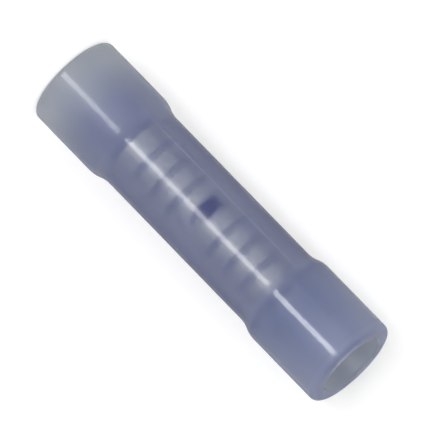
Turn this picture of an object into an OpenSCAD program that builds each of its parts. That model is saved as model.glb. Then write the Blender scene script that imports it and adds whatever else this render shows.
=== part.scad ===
// Butt splice connector: an insulating tube with expanded ends over a metal crimp barrel.
// It stands on its lower rim with the axis along +Z and z = 0 at that rim.
// Sizes are in millimetres. The barrel drives the sleeve, which is built outwards from it.

/* [Barrel] */
// Outside diameter of the crimp barrel
barrel_od = 3.8; // [3:0.1:6]
// Wall thickness of the crimp barrel
barrel_wall = 0.7; // [0.5:0.05:0.9]
// Length of the crimp barrel
barrel_len = 13.8; // [12:0.2:24]
// Countersink at each mouth of the barrel, measured along the radius
mouth_bevel = 0.35; // [0.1:0.05:0.4]
// Rounding of the barrel's outer end edges
barrel_edge = 0.12; // [0.05:0.01:0.2]

/* [Rings and serrations] */
// Soft rings on each half of the barrel
ring_count = 3; // [1:1:3]
// Distance from mid length to the first ring
ring_start = 1.9; // [1.6:0.1:2.2]
// Distance from one ring to the next
ring_pitch = 1.6; // [1:0.1:1.8]
// Width of one ring along the axis
ring_width = 0.75; // [0.4:0.05:0.9]
// Depth of one ring
ring_depth = 0.1; // [0.04:0.01:0.14]
// Width of the wire-gripping groove in the bore behind each ring
grip_width = 0.36; // [0.2:0.02:0.44]
// Depth of that groove
grip_depth = 0.12; // [0.06:0.01:0.14]

/* [Wire stop] */
// Length of the pressed-in stop along the axis, at the barrel's surface
stop_len = 0.94; // [0.6:0.02:1.2]
// Depth of the pressed-in stop
stop_depth = 0.35; // [0.2:0.05:0.45]
// How far the stop draws the bore in all round
neck = 0.2; // [0.18:0.01:0.26]

/* [Sleeve] */
// Radial clearance between the barrel and the sleeve
seat_gap = 0.02; // [0.01:0.01:0.1]
// Wall thickness of the sleeve
sleeve_wall = 1.06; // [0.7:0.02:1.6]
// How far each end is expanded, measured along the radius
flare_step = 0.32; // [0.2:0.02:0.7]
// Length of the S-shaped shoulder on the outside
shoulder_len = 1.6; // [1:0.1:3]
// How far the shoulder starts inside the end of the barrel
shoulder_inset = 0.7; // [0:0.1:1.5]
// Length of the funnel that leads the wire down into the barrel
funnel_len = 0.9; // [0.5:0.1:2]
// Length of each expanded end past its shoulder
entry_len = 5.45; // [4:0.05:12]
// Rounding of the rim's outer edge
rim_round = 0.45; // [0.1:0.05:0.6]
// Rounding of the rim's inner edge
lip_round = 0.25; // [0.1:0.05:0.4]

/* [Hidden] */
$fn = 96;

// Barrel, from the outside in
barrel_r = barrel_od / 2;
bore_r = barrel_r - barrel_wall;
barrel_half = barrel_len / 2;
bevel = min(mouth_bevel, barrel_wall - 2 * barrel_edge);
ring_r = (ring_width * ring_width / 4 + ring_depth * ring_depth) / (2 * ring_depth);
ring_room = barrel_half - bevel - ring_width - ring_start;
ring_step = min(ring_pitch, ring_room / max(1, ring_count - 1));
ring_z = [for (i = [0 : ring_count - 1]) ring_start + i * ring_step];

// Wire stop: a round bar pressed across the barrel, so the wall keeps its thickness behind it
punch_r = (stop_len * stop_len / 4 + stop_depth * stop_depth) / (2 * stop_depth);
punch_axis = barrel_r - stop_depth + punch_r;
ridge_r = punch_r + barrel_wall;
neck_half = sqrt(ridge_r * ridge_r - pow(punch_axis - bore_r, 2)) + 0.1;

// Sleeve, from the barrel outwards
seat_r = barrel_r + seat_gap;
waist_r = seat_r + sleeve_wall;
entry_r = seat_r + flare_step;
flare_r = waist_r + flare_step;
shoulder_z = barrel_half - shoulder_inset;
flare_z = shoulder_z + shoulder_len;
bend_r = (shoulder_len * shoulder_len + flare_step * flare_step) / (4 * flare_step);
half_len = flare_z + entry_len;
entry_z = barrel_half + funnel_len;
rim = min(rim_round, 0.45 * sleeve_wall);
lip = min(lip_round, 0.3 * sleeve_wall);

// A block of the given size with its lower left corner at [x, z]
module block(x, z, size) {
    translate([x, z]) square(size);
}

// A quarter disc about [x, z] that rounds an upper right corner
module corner(x, z, r) {
    intersection() {
        translate([x, z]) circle(r);
        block(x, z, [2 * r, 2 * r]);
    }
}

// An outline drawn above the mid plane, with its mirror image below, turned about the axis
module turned() {
    translate([0, 0, half_len]) rotate_extrude() {
        children();
        mirror([0, 1]) children();
    }
}

// Outside of the sleeve, down to the axis: waist, shoulder of two equal bends, flare and rim
module sleeve_outside() {
    block(0, 0, [waist_r, shoulder_z]);
    difference() {
        block(0, shoulder_z, [waist_r + flare_step / 2, shoulder_len / 2]);
        translate([waist_r + bend_r, shoulder_z]) circle(bend_r);
    }
    block(0, flare_z - shoulder_len / 2, [waist_r, shoulder_len / 2]);
    intersection() {
        block(0, flare_z - shoulder_len / 2, [2 * flare_r, shoulder_len / 2]);
        translate([flare_r - bend_r, flare_z]) circle(bend_r);
    }
    block(0, flare_z, [flare_r, entry_len - rim]);
    block(0, half_len - rim, [flare_r - rim, rim]);
    corner(flare_r - rim, half_len - rim, rim);
}

// Inside of the sleeve: seat of the barrel, funnel, wire entry and rounded lip
module sleeve_inside() {
    polygon([
        [0, 0], [seat_r, 0], [seat_r, barrel_half], [entry_r, entry_z],
        [entry_r, half_len - lip], [0, half_len - lip]
    ]);
    difference() {
        block(0, half_len - lip, [entry_r + lip, 2 * lip]);
        translate([entry_r + lip, half_len - lip]) circle(lip);
    }
}

// Inside of the barrel: drawn-in neck, grip grooves and countersunk mouth
module barrel_inside() {
    polygon(concat(
        [[0, 0], [bore_r - neck, 0], [bore_r, neck_half]],
        [for (z = ring_z) each [
            [bore_r, z - grip_width / 2], [bore_r + grip_depth, z], [bore_r, z + grip_width / 2]
        ]],
        [
            [bore_r, barrel_half - bevel], [bore_r + bevel, barrel_half],
            [bore_r + bevel, barrel_half + bevel], [0, barrel_half + bevel]
        ]
    ));
}

// A round bar lying across the barrel on the side of the wire stop
module cross_bar(r) {
    translate([0, -punch_axis, half_len]) rotate([0, 90, 0]) cylinder(r = r, h = 2 * barrel_od, center = true);
}

// Nylon tube with a narrow waist and two expanded wire entries
module insulator_sleeve() {
    color([0.42, 0.47, 0.72, 0.7]) turned() difference() {
        sleeve_outside();
        sleeve_inside();
    }
}

// Tin-plated crimp tube with soft rings, a grooved bore and a pressed-in wire stop
module crimp_barrel() {
    color([0.8, 0.81, 0.83]) difference() {
        union() {
            turned() difference() {
                union() {
                    block(0, 0, [barrel_r, barrel_half - barrel_edge]);
                    block(0, barrel_half - barrel_edge, [barrel_r - barrel_edge, barrel_edge]);
                    corner(barrel_r - barrel_edge, barrel_half - barrel_edge, barrel_edge);
                }
                barrel_inside();
                for (z = ring_z) translate([barrel_r - ring_depth + ring_r, z]) circle(ring_r);
            }
            intersection() {
                translate([0, 0, half_len]) cylinder(r = bore_r + barrel_wall / 2, h = 4 * ridge_r, center = true);
                cross_bar(ridge_r);
            }
        }
        cross_bar(punch_r);
    }
}

crimp_barrel();
insulator_sleeve();
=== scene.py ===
# %% [markdown]
# A butt splice connector in Blender
#
# The connector joins two wires end to end: a metal crimp barrel sits in the middle of a see-through
# blue nylon sleeve. The CAD model gives the exact solids. This lesson turns both pieces again with
# smooth outlines, gives them their finishes and lights them as in a studio. Everything is in metres,
# in the frame of the CAD model: the connector stands on its lower rim, with its axis along +Z.

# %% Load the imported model
import math

import bpy
from mathutils import Matrix, Vector


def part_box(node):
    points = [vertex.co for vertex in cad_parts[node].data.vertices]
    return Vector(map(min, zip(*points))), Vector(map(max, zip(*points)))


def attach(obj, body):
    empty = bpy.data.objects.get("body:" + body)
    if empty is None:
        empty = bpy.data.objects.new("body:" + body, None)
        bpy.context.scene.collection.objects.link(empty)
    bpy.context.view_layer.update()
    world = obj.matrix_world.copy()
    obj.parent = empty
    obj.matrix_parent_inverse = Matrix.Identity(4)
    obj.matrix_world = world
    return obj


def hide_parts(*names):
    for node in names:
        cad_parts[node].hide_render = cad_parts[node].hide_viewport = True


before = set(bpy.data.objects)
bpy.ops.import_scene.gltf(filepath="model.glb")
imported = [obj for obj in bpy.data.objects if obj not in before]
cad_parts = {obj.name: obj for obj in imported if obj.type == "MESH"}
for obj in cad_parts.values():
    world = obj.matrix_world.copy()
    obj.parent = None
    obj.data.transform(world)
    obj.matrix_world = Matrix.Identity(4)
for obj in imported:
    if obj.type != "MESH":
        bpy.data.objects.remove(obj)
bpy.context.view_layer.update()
MM = 0.001
sleeve_low, sleeve_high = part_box("insulator_sleeve")
barrel_low, barrel_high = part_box("crimp_barrel")

# %% [markdown]
# Sizes
#
# The boxes of the two solids give the overall sizes. A few more, in millimetres, are the sizes that
# the solids were built from, and the rest follows. Heights count from half length, because both
# pieces are much the same on either side of it.

# %% Sizes of the sleeve and the barrel
HALF_LEN = round((sleeve_high[2] - sleeve_low[2]) / 2 / MM, 3)
FLARE_R = round(sleeve_high[0] / MM, 3)
BARREL_R = round(barrel_high[0] / MM, 3)
BARREL_HALF = round((barrel_high[2] - barrel_low[2]) / 2 / MM, 3)
FLARE_STEP, SEAT_GAP, BARREL_WALL = 0.32, 0.02, 0.7
SHOULDER_INSET, SHOULDER_LEN, FUNNEL_LEN = 0.7, 1.6, 0.9
WAIST_R = FLARE_R - FLARE_STEP
SEAT_R = BARREL_R + SEAT_GAP
ENTRY_R = SEAT_R + FLARE_STEP
BORE_R = BARREL_R - BARREL_WALL
SHOULDER_Z = BARREL_HALF - SHOULDER_INSET
FUNNEL_Z = BARREL_HALF + FUNNEL_LEN
radii = {"waist": WAIST_R, "wire entry": ENTRY_R, "barrel bore": BORE_R}
print("diameters in mm:", {name: round(2 * radius, 2) for name, radius in radii.items()})

# %% [markdown]
# A lathe made of Geometry Nodes
#
# Both pieces are turned shapes, so one node tree serves them. It reads an outline, which is a row of
# points with the radius in X and the height in Z, and lays a grid over it: one row of the grid for
# each point, one column for each step round the axis. A Screw modifier could turn an outline too,
# but this tree can also press the wire stop into the barrel and let the nylon's skin wander a
# little, from inputs that have names.

# %% Small helpers for node trees
def node(tree, kind, **settings):
    made = tree.nodes.new(kind)
    for name, value in settings.items():
        setattr(made, name, value)
    return made


def feed(tree, socket, value):
    if isinstance(value, bpy.types.NodeSocket):
        tree.links.new(value, socket)
    else:
        socket.default_value = value


def maths(tree, operation, *values, clamp=False):
    made = node(tree, "ShaderNodeMath", operation=operation, use_clamp=clamp)
    for socket, value in zip(made.inputs, values):
        feed(tree, socket, value)
    return made.outputs[0]


def product(tree, *values):
    made = values[0]
    for value in values[1:]:
        made = maths(tree, "MULTIPLY", made, value)
    return made


def pick(tree, share, first, second):
    return maths(tree, "MULTIPLY_ADD", share, maths(tree, "SUBTRACT", second, first), first)


def named_sockets(tree, in_out, wanted):
    for name, kind, value in wanted:
        socket = tree.interface.new_socket(name, in_out=in_out, socket_type=kind)
        if value is not None:
            socket.default_value = value


# %% A grid with one row for each point of the outline
def outline_on_grid(tree, outline, steps_round):
    points = node(tree, "GeometryNodeAttributeDomainSize", component="MESH")
    feed(tree, points.inputs["Geometry"], outline)
    columns = maths(tree, "ADD", steps_round, 1.0)
    grid = node(tree, "GeometryNodeMeshGrid")
    feed(tree, grid.inputs["Vertices X"], points.outputs["Point Count"])
    feed(tree, grid.inputs["Vertices Y"], columns)
    index = node(tree, "GeometryNodeInputIndex").outputs[0]
    # Half a point more keeps the whole number safe from rounding
    row = maths(tree, "FLOOR", maths(tree, "DIVIDE", maths(tree, "ADD", index, 0.5), columns))
    column = maths(tree, "SUBTRACT", index, maths(tree, "MULTIPLY", row, columns))
    sample = node(tree, "GeometryNodeSampleIndex", data_type="FLOAT_VECTOR", domain="POINT")
    feed(tree, sample.inputs["Geometry"], outline)
    feed(tree, sample.inputs["Value"], node(tree, "GeometryNodeInputPosition").outputs[0])
    feed(tree, sample.inputs["Index"], row)
    point = node(tree, "ShaderNodeSeparateXYZ")
    feed(tree, point.inputs[0], sample.outputs["Value"])
    angle = maths(tree, "MULTIPLY", maths(tree, "DIVIDE", column, steps_round), math.tau)
    return grid.outputs["Mesh"], angle, point.outputs["X"], point.outputs["Z"]


# %% [markdown]
# The wire stop is made by a blunt blade that is pushed across the barrel on the -Y side and carries
# the wall in before it. So no point of the wall may lie further towards -Y than the blade, whose
# edge is sharper outside than on the ridge that it raises in the bore.

# %% The wire stop, pressed into the wall
def pressed_in(tree, inp, y, radius, height):
    up = maths(tree, "SUBTRACT", height, inp["Stop height"])
    outer = maths(tree, "GREATER_THAN", radius, inp["Wall middle"])
    edge = pick(tree, outer, inp["Stop edge inside"], inp["Stop edge outside"])
    floor = pick(tree, outer, inp["Stop floor inside"], inp["Stop floor outside"])
    squares = maths(tree, "ADD", product(tree, up, up), product(tree, edge, edge))
    rise = maths(tree, "SUBTRACT", maths(tree, "SQRT", squares), edge)
    limit = maths(tree, "MULTIPLY_ADD", rise, inp["Stop slope"], floor)
    return maths(tree, "MAXIMUM", y, maths(tree, "MULTIPLY", limit, -1.0))


# %% A skin that is never quite true, drawn in by a slow noise
WAVES_PER_METRE, WAVE_DETAIL = 260.0, 1.0


def uneven_skin(tree, mesh, depth):
    noise = node(tree, "ShaderNodeTexNoise", noise_dimensions="3D")
    noise.inputs["Scale"].default_value = WAVES_PER_METRE
    noise.inputs["Detail"].default_value = WAVE_DETAIL
    # The grid's faces still look inwards here, so a push along the normal draws the skin in
    push = node(tree, "ShaderNodeVectorMath", operation="SCALE")
    feed(tree, push.inputs[0], node(tree, "GeometryNodeInputNormal").outputs[0])
    feed(tree, push.inputs["Scale"], maths(tree, "MULTIPLY", noise.outputs[0], depth))
    uneven = node(tree, "GeometryNodeSetPosition")
    feed(tree, uneven.inputs["Geometry"], mesh)
    feed(tree, uneven.inputs["Offset"], push.outputs[0])
    return uneven.outputs[0]


# %% The whole lathe
STEPS_ROUND, SAME_PLACE = 192, 0.001


def lathe_tree():
    tree = bpy.data.node_groups.new("lathe", "GeometryNodeTree")
    named_sockets(tree, "INPUT", (
        ("Outline", "NodeSocketGeometry", None),
        ("Steps round", "NodeSocketInt", STEPS_ROUND),
        ("Finish", "NodeSocketMaterial", None),
        ("Stop height", "NodeSocketFloat", 0.0),
        ("Stop slope", "NodeSocketFloat", 0.0),
        ("Stop floor outside", "NodeSocketFloat", 1.0),
        ("Stop floor inside", "NodeSocketFloat", 1.0),
        ("Stop edge outside", "NodeSocketFloat", 0.0),
        ("Stop edge inside", "NodeSocketFloat", 0.0),
        ("Wall middle", "NodeSocketFloat", 0.0),
        ("Unevenness", "NodeSocketFloat", 0.0),
    ))
    named_sockets(tree, "OUTPUT", (("Piece", "NodeSocketGeometry", None),))
    inp = node(tree, "NodeGroupInput").outputs
    mesh, angle, radius, height = outline_on_grid(tree, inp["Outline"], inp["Steps round"])
    y = product(tree, radius, maths(tree, "SINE", angle))
    place = node(tree, "ShaderNodeCombineXYZ")
    feed(tree, place.inputs["X"], product(tree, radius, maths(tree, "COSINE", angle)))
    feed(tree, place.inputs["Y"], pressed_in(tree, inp, y, radius, height))
    feed(tree, place.inputs["Z"], height)
    turned = node(tree, "GeometryNodeSetPosition")
    feed(tree, turned.inputs["Geometry"], mesh)
    feed(tree, turned.inputs["Position"], place.outputs[0])
    closed = node(tree, "GeometryNodeMergeByDistance")
    feed(tree, closed.inputs["Geometry"], turned.outputs[0])
    feed(tree, closed.inputs["Distance"], SAME_PLACE * MM)
    smooth = node(tree, "GeometryNodeSetShadeSmooth")
    feed(tree, smooth.inputs[0], uneven_skin(tree, closed.outputs[0], inp["Unevenness"]))
    real = node(tree, "GeometryNodeRealizeInstances")
    feed(tree, real.inputs[0], smooth.outputs[0])
    finish = node(tree, "GeometryNodeSetMaterial")
    feed(tree, finish.inputs["Geometry"], real.outputs[0])
    feed(tree, finish.inputs["Material"], inp["Finish"])
    feed(tree, node(tree, "NodeGroupOutput").inputs["Piece"], finish.outputs[0])
    return tree


LATHE = lathe_tree()
print("the lathe has", len(LATHE.nodes), "nodes")

# %% [markdown]
# Turning makes an object of the bare outline, puts the lathe on it as a modifier, and keeps the
# result as a plain mesh. The signed volume tells whether the faces look outwards.

# %% Turning an outline into a finished mesh
def signed_volume(mesh):
    mesh.calc_loop_triangles()
    total = 0.0
    for triangle in mesh.loop_triangles:
        a, b, c = (mesh.vertices[i].co for i in triangle.vertices)
        total += a.dot(b.cross(c)) / 6
    return total


def turn(name, outline, finish, **inputs):
    points = [(r * MM, 0.0, (HALF_LEN + z) * MM) for r, z in outline]
    wire = bpy.data.meshes.new(name + "_outline")
    wire.from_pydata(points, [(i, i + 1) for i in range(len(points) - 1)], [])
    piece = bpy.data.objects.new(name, wire)
    bpy.context.scene.collection.objects.link(piece)
    lathe = piece.modifiers.new("lathe", "NODES")
    lathe.node_group = LATHE
    sockets = {s.name: s.identifier for s in LATHE.interface.items_tree if s.in_out == "INPUT"}
    lathe[sockets["Finish"]] = finish
    for key, value in inputs.items():
        lathe[sockets[key.replace("_", " ").capitalize()]] = value
    depsgraph = bpy.context.evaluated_depsgraph_get()
    mesh = bpy.data.meshes.new_from_object(piece.evaluated_get(depsgraph), depsgraph=depsgraph)
    mesh.name = name
    piece.modifiers.clear()
    piece.data = mesh
    volume = signed_volume(mesh)
    if volume < 0:
        mesh.flip_normals()
    print(name, len(mesh.loop_triangles), "triangles,", round(abs(volume) / MM ** 3, 1), "mm3")
    return piece


# %% [markdown]
# Outlines
#
# A turned outline is lines and arcs. An arc is cut into short steps, and a line into a few pieces
# with one close to each end, so that the smooth shading of an arc doesn't leak along the straight
# wall beside it.

# %% Lines and arcs
FINE_STEP, SAME_POINT = 0.1, 1e-5


def line(a, b, step=0.4, near=0.03):
    length = math.dist(a, b)
    if length < 3 * near:
        return [a, b]
    count = max(1, round((length - 2 * near) / step))
    stops = [near + (length - 2 * near) * i / count for i in range(count + 1)]
    shares = [s / length for s in (0.0, *stops, length)]
    return [(a[0] + (b[0] - a[0]) * s, a[1] + (b[1] - a[1]) * s) for s in shares]


def arc(centre, radius, start, end, count=12):
    turns = [math.radians(start + (end - start) * i / count) for i in range(count + 1)]
    return [(centre[0] + radius * math.cos(t), centre[1] + radius * math.sin(t)) for t in turns]


def joined(*stretches):
    points = []
    for stretch in stretches:
        for p in stretch:
            if not points or math.dist(p, points[-1]) > SAME_POINT:
                points.append(p)
    return points


def below(upper_half):
    return [(r, -z) for r, z in reversed(upper_half)]


print("a quarter circle has", len(arc((0.0, 0.0), 1.0, 0, 90)), "points")

# %% [markdown]
# The sleeve
#
# The real sleeve is a nylon tube whose ends were warmed and pushed over a stepped pin, which leaves
# an S-shaped shoulder outside and a funnel inside. The shoulder is two equal bends that meet in the
# middle, as in the CAD model. The ends are formed one after the other, so the waist sits a little
# nearer to one end. Each half is drawn from the mid plane to the rim and back along the bore.

# %% Outline of the sleeve
RIM, LIP, FUNNEL_BEND, SHOULDER_SHIFT = 0.45, 0.25, 0.6, 0.25
SHOULDER_STEPS, RIM_STEPS, FUNNEL_STEPS = 14, 14, 6
bend = (SHOULDER_LEN ** 2 + FLARE_STEP ** 2) / (4 * FLARE_STEP)
swing = math.degrees(math.asin(SHOULDER_LEN / 2 / bend))
lean = math.degrees(math.atan2(ENTRY_R - SEAT_R, FUNNEL_LEN))
tuck = FUNNEL_BEND * math.tan(math.radians(lean / 2))


def sleeve_skin(shoulder_z):
    flare_z = shoulder_z + SHOULDER_LEN
    return joined(
        line((WAIST_R, 0.0), (WAIST_R, shoulder_z)),
        arc((WAIST_R + bend, shoulder_z), bend, 180, 180 - swing, SHOULDER_STEPS),
        arc((FLARE_R - bend, flare_z), bend, -swing, 0, SHOULDER_STEPS),
        line((FLARE_R, flare_z), (FLARE_R, HALF_LEN - RIM)),
        arc((FLARE_R - RIM, HALF_LEN - RIM), RIM, 0, 90, RIM_STEPS),
        line((FLARE_R - RIM, HALF_LEN), (ENTRY_R + LIP, HALF_LEN), FINE_STEP),
        arc((ENTRY_R + LIP, HALF_LEN - LIP), LIP, 90, 180),
    )


sleeve_bore = joined(
    line((ENTRY_R, HALF_LEN - LIP), (ENTRY_R, FUNNEL_Z + tuck)),
    arc((ENTRY_R - FUNNEL_BEND, FUNNEL_Z + tuck), FUNNEL_BEND, 0, -lean, FUNNEL_STEPS),
    arc((SEAT_R + FUNNEL_BEND, BARREL_HALF - tuck), FUNNEL_BEND, 180 - lean, 180, FUNNEL_STEPS),
    line((SEAT_R, BARREL_HALF - tuck), (SEAT_R, 0.0)),
)
sleeve_upper = joined(sleeve_skin(SHOULDER_Z - SHOULDER_SHIFT), sleeve_bore)
sleeve_lower = below(joined(sleeve_skin(SHOULDER_Z + SHOULDER_SHIFT), sleeve_bore))
sleeve_outline = joined(sleeve_upper, sleeve_lower)
print("sleeve outline has", len(sleeve_outline), "points, shoulder bends of", round(bend, 2), "mm")

# %% [markdown]
# The crimp barrel
#
# The barrel is a short copper tube with a tin finish. Rings are rolled into it, each backed by a
# groove in the bore that grips the wire, and a blade mark across its middle makes the stop that both
# wires butt against. A rolled ring is a V with soft edges: its sides turn the light away, so that it
# shows as one dark band.

# %% Outline of the barrel
RING_START, RING_PITCH, RING_COUNT = 1.9, 1.6, 3
RING_HALF, RING_DEPTH, RING_CURVE = 0.30, 0.11, 1.3
RING_Z = [round(RING_START + i * RING_PITCH, 3) for i in range(RING_COUNT)]
GRIP_HALF, GRIP_DEPTH, MOUTH_BEVEL, BARREL_EDGE = 0.18, 0.12, 0.35, 0.12
NECK, NECK_HALF = 0.2, 0.943
MIDDLE_STEP, NECK_STEP, GRIP_NEAR, EDGE_STEPS = 0.03, 0.05, 0.01, 8


def ring(z, steps=16):
    points = []
    for i in range(steps + 1):
        s = 2 * i / steps - 1
        drop = RING_DEPTH * (1 - abs(s)) ** RING_CURVE
        points.append((BARREL_R - drop, z + s * RING_HALF))
    return points


def barrel_skin():
    points, at, step = [], 0.0, MIDDLE_STEP
    for z in RING_Z:
        points += line((BARREL_R, at), (BARREL_R, z - RING_HALF), step) + ring(z)
        at, step = z + RING_HALF, FINE_STEP
    edge_r, edge_z = BARREL_R - BARREL_EDGE, BARREL_HALF - BARREL_EDGE
    points += line((BARREL_R, at), (BARREL_R, edge_z), step)
    return points + arc((edge_r, edge_z), BARREL_EDGE, 0, 90, EDGE_STEPS)


def barrel_bore():
    mouth_r, at = BORE_R + MOUTH_BEVEL, BARREL_HALF - MOUTH_BEVEL
    points = line((BARREL_R - BARREL_EDGE, BARREL_HALF), (mouth_r, BARREL_HALF), FINE_STEP)
    points += line((mouth_r, BARREL_HALF), (BORE_R, at), FINE_STEP)
    for z in reversed(RING_Z):
        bottom = (BORE_R + GRIP_DEPTH, z)
        points += line((BORE_R, at), (BORE_R, z + GRIP_HALF))
        points += line((BORE_R, z + GRIP_HALF), bottom, FINE_STEP, GRIP_NEAR)
        points += line(bottom, (BORE_R, z - GRIP_HALF), FINE_STEP, GRIP_NEAR)
        at = z - GRIP_HALF
    points += line((BORE_R, at), (BORE_R, NECK_HALF))
    return points + line((BORE_R, NECK_HALF), (BORE_R - NECK, 0.0), NECK_STEP)


barrel_upper = joined(barrel_skin(), barrel_bore())
barrel_outline = joined(barrel_upper, below(barrel_upper))
print("barrel outline has", len(barrel_outline), "points, with rings at", RING_Z, "mm off half length")

# %% [markdown]
# What both finishes share
#
# Nothing that is drawn, rolled or moulded is quite even. One group of shader nodes gives each finish
# a slow cloud and a fine grain, which can be drawn out along an axis. Another tells where a point
# lies on a turned piece, in millimetres, so that a finish can change from the waist to the rim. Both
# read Object coordinates, which stay with the piece.

# %% Cloud and grain
CLOUD_DETAIL, GRAIN_DETAIL = 3.0, 4.0


def cloud_and_grain():
    tree = bpy.data.node_groups.new("cloud_and_grain", "ShaderNodeTree")
    named_sockets(tree, "INPUT", (
        ("Cloud scale", "NodeSocketFloat", 300.0),
        ("Grain scale", "NodeSocketFloat", 2000.0),
        ("Draw", "NodeSocketVector", (1.0, 1.0, 1.0)),
    ))
    named_sockets(tree, "OUTPUT", [(name, "NodeSocketFloat", None) for name in ("Cloud", "Grain")])
    inp = node(tree, "NodeGroupInput").outputs
    out = node(tree, "NodeGroupOutput").inputs
    place = node(tree, "ShaderNodeTexCoord").outputs["Object"]
    drawn = node(tree, "ShaderNodeVectorMath", operation="MULTIPLY")
    feed(tree, drawn.inputs[0], place)
    feed(tree, drawn.inputs[1], inp["Draw"])
    for name, where, detail in (
            ("Cloud", place, CLOUD_DETAIL), ("Grain", drawn.outputs[0], GRAIN_DETAIL)):
        noise = node(tree, "ShaderNodeTexNoise")
        feed(tree, noise.inputs["Vector"], where)
        feed(tree, noise.inputs["Scale"], inp[name + " scale"])
        noise.inputs["Detail"].default_value = detail
        feed(tree, out[name], noise.outputs[0])
    return tree


# %% Place on a turned piece
def turned_place():
    tree = bpy.data.node_groups.new("turned_place", "ShaderNodeTree")
    wanted = ("Radius", "Height", "Across", "Ahead")
    named_sockets(tree, "OUTPUT", [(name, "NodeSocketFloat", None) for name in wanted])
    place = node(tree, "ShaderNodeSeparateXYZ")
    feed(tree, place.inputs[0], node(tree, "ShaderNodeTexCoord").outputs["Object"])
    x, y, z = (maths(tree, "DIVIDE", place.outputs[axis], MM) for axis in "XYZ")
    radius = maths(tree, "SQRT", maths(tree, "ADD", product(tree, x, x), product(tree, y, y)))
    height = maths(tree, "SUBTRACT", z, HALF_LEN)
    out = node(tree, "NodeGroupOutput").inputs
    for name, value in zip(wanted, (radius, height, x, y)):
        feed(tree, out[name], value)
    return tree


GRAIN, PLACE = cloud_and_grain(), turned_place()
print("shared groups:", GRAIN.name, "and", PLACE.name)

# %% Helpers for finishes
NOISE_LOW, NOISE_HIGH = 0.3, 0.7
MIX_SHARE, MIX_FIRST, MIX_SECOND, MIX_COLOUR = 0, 6, 7, 2


def new_finish(name):
    made = bpy.data.materials.new(name)
    made.use_nodes = True
    made.node_tree.nodes.clear()
    return made, made.node_tree


def span(tree, noise, low, high):
    made = node(tree, "ShaderNodeMapRange")
    feed(tree, made.inputs["Value"], noise)
    for name, value in (
            ("From Min", NOISE_LOW), ("From Max", NOISE_HIGH), ("To Min", low), ("To Max", high)):
        made.inputs[name].default_value = value
    return made.outputs[0]


def grain_for(tree, cloud_scale, grain_scale, draw):
    made = node(tree, "ShaderNodeGroup", node_tree=GRAIN)
    made.inputs["Cloud scale"].default_value = cloud_scale
    made.inputs["Grain scale"].default_value = grain_scale
    made.inputs["Draw"].default_value = draw
    return span(tree, made.outputs["Cloud"], 0.0, 1.0), made.outputs["Grain"]


def fade(tree, value, start, stop):
    made = node(tree, "ShaderNodeMapRange", interpolation_type="SMOOTHSTEP")
    feed(tree, made.inputs["Value"], value)
    made.inputs["From Min"].default_value = start
    made.inputs["From Max"].default_value = stop
    return made.outputs[0]


def blend(tree, share, first, second):
    made = node(tree, "ShaderNodeMix", data_type="RGBA")
    for place, value in ((MIX_SHARE, share), (MIX_FIRST, first), (MIX_SECOND, second)):
        feed(tree, made.inputs[place], value)
    return made.outputs[MIX_COLOUR]


def tinted(tree, cloud, colour, spread=0.07):
    low, high = ((*(c * (1 + sign * spread) for c in colour), 1.0) for sign in (-1, 1))
    return blend(tree, cloud, low, high)


def bump(tree, shader, height, depth, strength):
    made = node(tree, "ShaderNodeBump")
    made.inputs["Strength"].default_value = strength
    made.inputs["Distance"].default_value = depth * MM
    feed(tree, made.inputs["Height"], height)
    feed(tree, shader.inputs["Normal"], made.outputs[0])


def mixed(tree, share, first, second):
    made = node(tree, "ShaderNodeMixShader")
    feed(tree, made.inputs[0], share)
    feed(tree, made.inputs[1], first.outputs[0])
    feed(tree, made.inputs[2], second.outputs[0])
    return made


# %% [markdown]
# Blue nylon
#
# Dyed nylon is milky: light goes in, scatters and comes out blue, and what lies inside is seen
# blurred. A volume could scatter the light, but it would be slow and grainy on so small a piece and
# the export would lose it. So two shaders are mixed. The clear one lets the barrel show, with a
# rough refraction that blurs it under a thin glossy coat, and the hazy one has the colour of the
# dye, with painted light and shade.
# The haze changes along the sleeve: it is darker over the barrel as painted shade, lighter over the
# stretched ends as painted light, the lower end more than the upper, pale at the lower tip and
# greyer towards the upper rim as painted light, and a deeper blue again on the upper end's cut face.
# A faint line from the drawing die runs along the waist.

# %% Where the nylon changes
# The ends, the lower tip and the upper rim take painted light in the haze; the ends are also rougher
STRETCHED, TIP_FROM, RIM_FROM = (5.8, 8.2), (-8.6, -13.4), (8.0, 13.2)
CUT_FROM, FACE_FROM, BORE_FROM = (12.4, 13.0), (12.95, 13.22), (2.7, 2.3)
DRAW_LINE_X, DRAW_LINE_HALF, DRAW_LINE_FRONT = -1.83, (0.06, 0.02), (-2.0, -2.2)


def nylon_masks(tree):
    place = node(tree, "ShaderNodeGroup", node_tree=PLACE).outputs
    lower = fade(tree, place["Height"], -STRETCHED[0], -STRETCHED[1])
    upper = fade(tree, place["Height"], *STRETCHED)
    ends = maths(tree, "ADD", lower, upper)
    bore = product(tree, ends, fade(tree, place["Radius"], *BORE_FROM))
    cut = maths(tree, "MAXIMUM", fade(tree, place["Height"], *CUT_FROM), bore)
    beside = maths(tree, "ABSOLUTE", maths(tree, "SUBTRACT", place["Across"], DRAW_LINE_X))
    return {
        "ends": ends,
        "line": product(
            tree, fade(tree, beside, *DRAW_LINE_HALF), fade(tree, place["Ahead"], *DRAW_LINE_FRONT),
            maths(tree, "SUBTRACT", 1.0, ends)),
        "lower": lower,
        "upper": upper,
        "tip": fade(tree, place["Height"], *TIP_FROM),
        "rim": fade(tree, place["Height"], *RIM_FROM),
        "face": fade(tree, place["Height"], *FACE_FROM),
        "bore": bore,
        "cut": cut,
    }


print("the ends are stretched from", *STRETCHED, "mm off half length")

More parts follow.
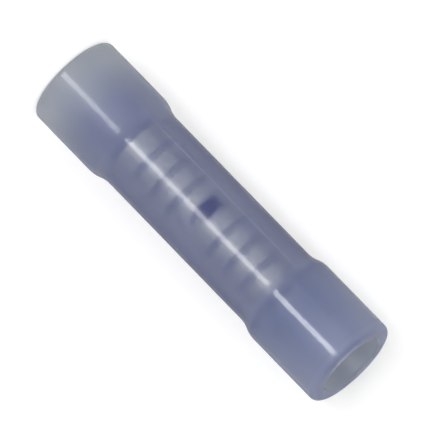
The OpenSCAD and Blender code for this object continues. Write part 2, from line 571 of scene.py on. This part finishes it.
# %% Colours of the haze and of the clear nylon
HAZE_SHARE = 0.326
# The waist's dark haze holds painted shade of the barrel; the lighter ends, the pale tip and the
# greyer rim hold painted light
WAIST_HAZE = (0.014, 0.031, 0.235)
LINE_HAZE = (0.170, 0.200, 0.420)
LOWER_HAZE = (0.085, 0.112, 0.350)
UPPER_HAZE = (0.040, 0.086, 0.350)
TIP_HAZE = (0.460, 0.495, 0.595)
RIM_HAZE = (0.150, 0.190, 0.455)
FACE_HAZE = (0.045, 0.080, 0.320)
BORE_HAZE = (0.060, 0.072, 0.180)
CLEAR_TINT = (0.920, 0.950, 0.910)
LET_IN = (0.74, 0.74, 0.69)
print("haze over the waist", WAIST_HAZE, "and at the ends", LOWER_HAZE, UPPER_HAZE)


# Blends in the painted shade over the barrel and the painted light at the ends, the lower tip and the
# upper rim
def haze_colour(tree, cloud, masks):
    colour = tinted(tree, cloud, WAIST_HAZE)
    for name, shade in (
            ("line", LINE_HAZE), ("lower", LOWER_HAZE), ("upper", UPPER_HAZE), ("tip", TIP_HAZE),
            ("rim", RIM_HAZE), ("face", FACE_HAZE), ("bore", BORE_HAZE)):
        colour = blend(tree, masks[name], colour, tinted(tree, cloud, shade))
    return colour


# %% [markdown]
# A lamp is found by shadow rays, and glass stops those. Here a see-through shader takes the nylon's
# place for shadow rays alone, so that the lamps reach the barrel through the sleeve. The gloss isn't
# even: the upper end has all of it, the waist and the lower end are worn, and the upper cut face and
# the wire entries have none.

# %% The nylon itself
NYLON_IOR, COAT_ROUGHNESS = 1.53, 0.07
NYLON_CLOUD, NYLON_GRAIN, DRAWN_ALONG, NYLON_BUMP = 420.0, 1400.0, (1.0, 1.0, 0.25), (0.001, 0.08)
LOWER_COAT, WAIST_COAT, UPPER_COAT = 0.20, (0.16, 0.30), 1.0
# Below about 0.27 the denoiser takes the clear nylon for a mirror, and the waist turns patchy
HAZE_ROUGHNESS, CLEAR_ROUGHNESS = (0.07, 0.10), (0.28, 0.31)
CUT_ROUGHNESS, STRETCH_ROUGHNESS, CLEAR_SPREAD = 0.60, 0.10, 0.015


def worn_coat(tree, cloud, masks):
    coat = pick(tree, masks["lower"], pick(tree, cloud, *WAIST_COAT), LOWER_COAT)
    coat = pick(tree, masks["upper"], coat, UPPER_COAT)
    return product(tree, coat, maths(tree, "SUBTRACT", 1.0, masks["cut"]))


def blue_nylon():
    made, tree = new_finish("blue_nylon")
    clear, haze = (node(tree, "ShaderNodeBsdfPrincipled") for _ in range(2))
    body = mixed(tree, HAZE_SHARE, clear, haze)
    see_through = node(tree, "ShaderNodeBsdfTransparent")
    see_through.inputs["Color"].default_value = (*LET_IN, 1.0)
    shadow_ray = node(tree, "ShaderNodeLightPath").outputs["Is Shadow Ray"]
    surface = mixed(tree, shadow_ray, body, see_through)
    feed(tree, node(tree, "ShaderNodeOutputMaterial").inputs["Surface"], surface.outputs[0])
    cloud, grain = grain_for(tree, NYLON_CLOUD, NYLON_GRAIN, DRAWN_ALONG)
    masks = nylon_masks(tree)
    stretched = maths(tree, "ADD", masks["ends"], masks["bore"])
    feed(tree, haze.inputs["Base Color"], haze_colour(tree, cloud, masks))
    feed(tree, clear.inputs["Base Color"], tinted(tree, cloud, CLEAR_TINT, CLEAR_SPREAD))
    feed(tree, haze.inputs["Roughness"], maths(
        tree, "MULTIPLY_ADD", masks["cut"], CUT_ROUGHNESS, span(tree, grain, *HAZE_ROUGHNESS)))
    feed(tree, clear.inputs["Roughness"], maths(
        tree, "MULTIPLY_ADD", stretched, STRETCH_ROUGHNESS, span(tree, grain, *CLEAR_ROUGHNESS)))
    feed(tree, clear.inputs["Coat Weight"], worn_coat(tree, cloud, masks))
    clear.inputs["Coat Roughness"].default_value = COAT_ROUGHNESS
    clear.inputs["Transmission Weight"].default_value = 1.0
    for shader in (clear, haze):
        shader.inputs["IOR"].default_value = NYLON_IOR
        bump(tree, shader, grain, *NYLON_BUMP)
    return made


NYLON = blue_nylon()
print(NYLON.name, "has", len(NYLON.node_tree.nodes), "nodes")

# %% [markdown]
# Tinned copper
#
# Tin on a drawn copper tube is bright but soft. Drawing leaves its highlights long across the tube
# and short along it: that is an anisotropic metal with its tangent round the axis. Rolling adds fine
# marks that run round it. Part of the dent that the blade pressed in for the wire stop is painted
# near black, as painted shade.

# %% The tin and the painted shade in the wire stop
BRIGHT_TIN = (0.86, 0.85, 0.78)
# Near-black tin: painted shade over part of the wire stop's dent
PAINTED_SHADE_TIN = (0.07, 0.06, 0.04)
STOP_Z = -0.15
MARK_HALF, MARK_FRONT = (0.85, 0.25), (-0.6, -0.9)
MARK_NEAR, MARK_FAR = (0.50, 0.20), (-1.50, -0.70)
TIN_ROUGHNESS, TIN_STRETCH, TIN_SPREAD = (0.33, 0.40), 0.94, 0.045
TIN_CLOUD, TIN_GRAIN, DRAWN_ROUND, TIN_BUMP = 900.0, 1500.0, (1.0, 1.0, 8.0), (0.004, 0.4)


# Where the painted shade lies: part of the wire stop's dent, on the -Y side
def painted_shade_mark(tree):
    place = node(tree, "ShaderNodeGroup", node_tree=PLACE).outputs
    from_stop = maths(tree, "ABSOLUTE", maths(tree, "SUBTRACT", place["Height"], STOP_Z))
    return product(
        tree, fade(tree, from_stop, *MARK_HALF), fade(tree, place["Across"], *MARK_NEAR),
        fade(tree, place["Across"], *MARK_FAR), fade(tree, place["Ahead"], *MARK_FRONT))


def tinned_copper():
    made, tree = new_finish("tinned_copper")
    metal = node(tree, "ShaderNodeBsdfPrincipled")
    feed(tree, node(tree, "ShaderNodeOutputMaterial").inputs["Surface"], metal.outputs[0])
    cloud, grain = grain_for(tree, TIN_CLOUD, TIN_GRAIN, DRAWN_ROUND)
    bright, shaded_tin = tinted(tree, cloud, BRIGHT_TIN, TIN_SPREAD), tinted(tree, cloud, PAINTED_SHADE_TIN)
    feed(tree, metal.inputs["Base Color"], blend(tree, painted_shade_mark(tree), bright, shaded_tin))
    feed(tree, metal.inputs["Roughness"], span(tree, grain, *TIN_ROUGHNESS))
    metal.inputs["Metallic"].default_value = 1.0
    metal.inputs["Anisotropic"].default_value = TIN_STRETCH
    round_the_axis = node(tree, "ShaderNodeTangent", direction_type="RADIAL", axis="Z")
    feed(tree, metal.inputs["Tangent"], round_the_axis.outputs[0])
    bump(tree, metal, grain, *TIN_BUMP)
    return made


TIN = tinned_copper()
print(TIN.name, "has", len(TIN.node_tree.nodes), "nodes")

# %% [markdown]
# Turning the pieces
#
# Each outline goes through the lathe with its own inputs, and the result stands in for the plain
# solid. The connector doesn't move, so both pieces ride on the one body that it has.

# %% Turn the sleeve and the barrel
STOP_DEPTH, STOP_HALF = 0.35, 0.47
BLADE_EDGE, RIDGE_EDGE, UNEVENNESS = 0.05, 0.3, 0.012
sleeve = turn("nylon_sleeve", sleeve_outline, NYLON, unevenness=UNEVENNESS * MM)
barrel = turn(
    "tinned_barrel", barrel_outline, TIN,
    stop_height=(HALF_LEN + STOP_Z) * MM,
    stop_slope=STOP_DEPTH / STOP_HALF,
    stop_floor_outside=(BARREL_R - STOP_DEPTH) * MM,
    stop_floor_inside=(BORE_R - STOP_DEPTH) * MM,
    stop_edge_outside=BLADE_EDGE * MM,
    stop_edge_inside=RIDGE_EDGE * MM,
    wall_middle=(BARREL_R + BORE_R) / 2 * MM,
)
for piece, solid, slot in (
        (sleeve, "insulator_sleeve", "blue_nylon"),
        (barrel, "crimp_barrel", "tinned_copper")):
    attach(piece, "root")
    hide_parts(solid)

# %% [markdown]
# Camera
#
# The photograph looks at the connector from the side and a little from above, so that its upper end
# shows, through a long lens, and is turned so that the axis runs to the lower right. The camera's own
# axes follow from that: where the connector's axis points in the picture, where its side points, and
# the way to the camera.

# %% Camera at the photograph's angle
PHOTO_WIDE, PHOTO_HIGH = 427, 437
MIDDLE_RIGHT, MIDDLE_DOWN, PIXELS_PER_MM = 211.36, 221.22, 15.76
TILT, AXIS_TURN = math.radians(15.5), math.radians(45.823)
LENS, SENSOR, CLIP_NEAR, CLIP_FAR = 1200.0, 36.0, 0.01, 20.0
to_camera = Vector((0, -math.cos(TILT), math.sin(TILT)))
along = Vector((0, math.sin(TILT), math.cos(TILT)))
side = to_camera.cross(along)
right = along * math.cos(AXIS_TURN) + side * math.sin(AXIS_TURN)
up = side * math.cos(AXIS_TURN) - along * math.sin(AXIS_TURN)
pixel = MM / PIXELS_PER_MM
middle = Vector((0, 0, HALF_LEN * MM))
aim = middle + right * (PHOTO_WIDE / 2 - MIDDLE_RIGHT) * pixel
aim += up * (MIDDLE_DOWN - PHOTO_HIGH / 2) * pixel
distance = PHOTO_HIGH * pixel * LENS / SENSOR

lens = bpy.data.cameras.new("camera")
lens.sensor_fit = "VERTICAL"
lens.sensor_height = lens.sensor_width = SENSOR
lens.lens = LENS
lens.clip_start, lens.clip_end = CLIP_NEAR, CLIP_FAR
camera = bpy.data.objects.new("camera", lens)
camera_axes = Matrix((right, up, to_camera)).transposed().to_4x4()
camera.matrix_world = Matrix.Translation(aim + to_camera * distance) @ camera_axes
bpy.context.scene.collection.objects.link(camera)
bpy.context.scene.camera = camera
print("camera", round(distance, 3), "m away")

# %% [markdown]
# Stage
#
# A white floor carries the connector, and a white card stands close behind it, as the table lies
# behind the connector in the photograph. Both are paper, which takes the soft shadow, with a little
# white added where the camera or a reflection sees them. What shows through the nylon, or in the
# metal inside it, is a paper colour of its own: painted shade on the card and on the floor through
# the nylon, and painted light on the floor in the metal. From behind, the card isn't there: its back
# lets the view pass, and a view that has passed its back finds no front either.

# %% Paper for the floor and the card
PAPER = 0.85


def stage_paper(name, shown, through, in_metal, one_sided=False):
    made, tree = new_finish(name)
    path = node(tree, "ShaderNodeLightPath").outputs
    inside = path["Is Transmission Ray"]
    mirrored = maths(tree, "MINIMUM", path["Glossy Depth"], 1.0)
    # Seen through the nylon or in the metal inside it, the paper takes its own colour: painted shade
    # below PAPER, painted light above it
    painted_light_and_shade = maths(tree, "MULTIPLY_ADD", mirrored, in_metal - through, through - PAPER)
    paper = node(tree, "ShaderNodeBsdfDiffuse")
    feed(tree, paper.inputs["Color"], maths(tree, "MULTIPLY_ADD", inside, painted_light_and_shade, PAPER))
    seen = maths(tree, "ADD", path["Is Camera Ray"], path["Is Glossy Ray"], clamp=True)
    seen = maths(tree, "SUBTRACT", seen, inside, clamp=True)
    white = node(tree, "ShaderNodeEmission")
    feed(tree, white.inputs["Strength"], maths(tree, "MULTIPLY", seen, shown))
    surface = node(tree, "ShaderNodeAddShader")
    feed(tree, surface.inputs[0], paper.outputs[0])
    feed(tree, surface.inputs[1], white.outputs[0])
    if one_sided:
        behind = node(tree, "ShaderNodeNewGeometry").outputs["Backfacing"]
        passed = maths(tree, "MINIMUM", path["Transparent Depth"], 1.0)
        gone = maths(tree, "MAXIMUM", behind, passed)
        surface = mixed(tree, gone, surface, node(tree, "ShaderNodeBsdfTransparent"))
    feed(tree, node(tree, "ShaderNodeOutputMaterial").inputs["Surface"], surface.outputs[0])
    return made


def paper_sheet(name, corners, finish):
    mesh = bpy.data.meshes.new(name)
    mesh.from_pydata(corners, [], [(0, 1, 2, 3)])
    mesh.materials.append(finish)
    made = bpy.data.objects.new(name, mesh)
    bpy.context.scene.collection.objects.link(made)
    return made


# %% Floor and card
FLOOR_SHOWN, CARD_SHOWN = 0.40, 0.20
# Paper seen through the nylon and in the metal: painted shade on the card and through the nylon,
# painted light on the floor in the metal
FLOOR_THROUGH, FLOOR_IN_METAL = 0.69, 1.0
CARD_THROUGH, CARD_IN_METAL = 0.55, 0.61
FLOOR_HALF, CARD_HALF, CARD_HIGH, CARD_GAP = 3.0, 0.2, 0.3, 0.03
back = (FLARE_R + CARD_GAP) * MM
floor = paper_sheet(
    "floor",
    [(x * FLOOR_HALF, y * FLOOR_HALF, 0.0) for x, y in ((-1, -1), (1, -1), (1, 1), (-1, 1))],
    stage_paper("white_floor", FLOOR_SHOWN, FLOOR_THROUGH, FLOOR_IN_METAL))
card = paper_sheet(
    "card",
    [(x * CARD_HALF, back, z * CARD_HIGH) for x, z in ((-1, 0), (1, 0), (1, 1), (-1, 1))],
    stage_paper("white_card", CARD_SHOWN, CARD_THROUGH, CARD_IN_METAL, one_sided=True))
floor.visible_glossy = floor.visible_shadow = False
card.visible_glossy = card.visible_diffuse = card.visible_shadow = False
print("card", CARD_GAP, "mm behind the connector")

# %% [markdown]
# Light
#
# The photograph has one long bright streak along the connector and soft light all round. The streak
# is a strip lamp: on an upright wall seen from above, it has to lie as far below the horizon as the
# camera is above it, so it shines up through the floor, which lets its light pass. A soft box beside
# it evens out the barrel, two weak lamps light the back, and the world is brighter above than below.

# %% Lamps
STRIP_SIDE, SOFT_SIDE, BACK_SIDE = -8.6, 28, 145
FRONT_UP, BACK_UP = -math.degrees(TILT), 35
FRONT_AWAY, BACK_AWAY = 0.40, 0.60
STRIP_SIZE, SOFT_SIZE, BACK_SIZE = (0.08, 0.40), (0.20, 0.40), (0.40, 0.40)
STRIP_POWER, SOFT_POWER, BACK_POWER = 0.74, 0.10, 0.28


def lamp(name, side_angle, height_angle, away, size, power):
    data = bpy.data.lights.new(name, "AREA")
    data.shape = "RECTANGLE"
    data.size, data.size_y = size
    data.energy = power
    made = bpy.data.objects.new(name, data)
    a, e = math.radians(side_angle), math.radians(height_angle)
    way = Vector((-math.sin(a) * math.cos(e), -math.cos(a) * math.cos(e), math.sin(e)))
    across = Vector((0, 0, 1)).cross(way).normalized()
    lamp_axes = Matrix((across, way.cross(across), way)).transposed().to_4x4()
    made.matrix_world = Matrix.Translation(middle + way * away) @ lamp_axes
    made.visible_transmission = False
    bpy.context.scene.collection.objects.link(made)
    return made


lamps = [
    lamp("strip", STRIP_SIDE, FRONT_UP, FRONT_AWAY, STRIP_SIZE, STRIP_POWER),
    lamp("soft_box", SOFT_SIDE, FRONT_UP, FRONT_AWAY, SOFT_SIZE, SOFT_POWER),
    lamp("back_left", BACK_SIDE, BACK_UP, BACK_AWAY, BACK_SIZE, BACK_POWER),
    lamp("back_right", -BACK_SIDE, BACK_UP, BACK_AWAY, BACK_SIZE, BACK_POWER),
]
print("lamps:", {made.name: round(made.data.energy, 2) for made in lamps}, "W")

# %% A world that is brighter above
WORLD_LOW, WORLD_HIGH, WORLD_FADE = 0.37, 0.87, (-0.2, 0.6)


def soft_world():
    made = bpy.data.worlds.new("studio")
    bpy.context.scene.world = made
    made.use_nodes = True
    tree = made.node_tree
    way = node(tree, "ShaderNodeSeparateXYZ")
    feed(tree, way.inputs[0], node(tree, "ShaderNodeTexCoord").outputs["Generated"])
    light = pick(tree, fade(tree, way.outputs["Z"], *WORLD_FADE), WORLD_LOW, WORLD_HIGH)
    seen = node(tree, "ShaderNodeLightPath").outputs["Is Camera Ray"]
    background = tree.nodes["Background"]
    background.inputs["Color"].default_value = (1.0, 1.0, 1.0, 1.0)
    feed(tree, background.inputs["Strength"], maths(tree, "MAXIMUM", light, seen))
    return made


world = soft_world()
bpy.context.scene.view_settings.view_transform = "Standard"
print("world:", world.name, "from", WORLD_LOW, "below to", WORLD_HIGH, "above")
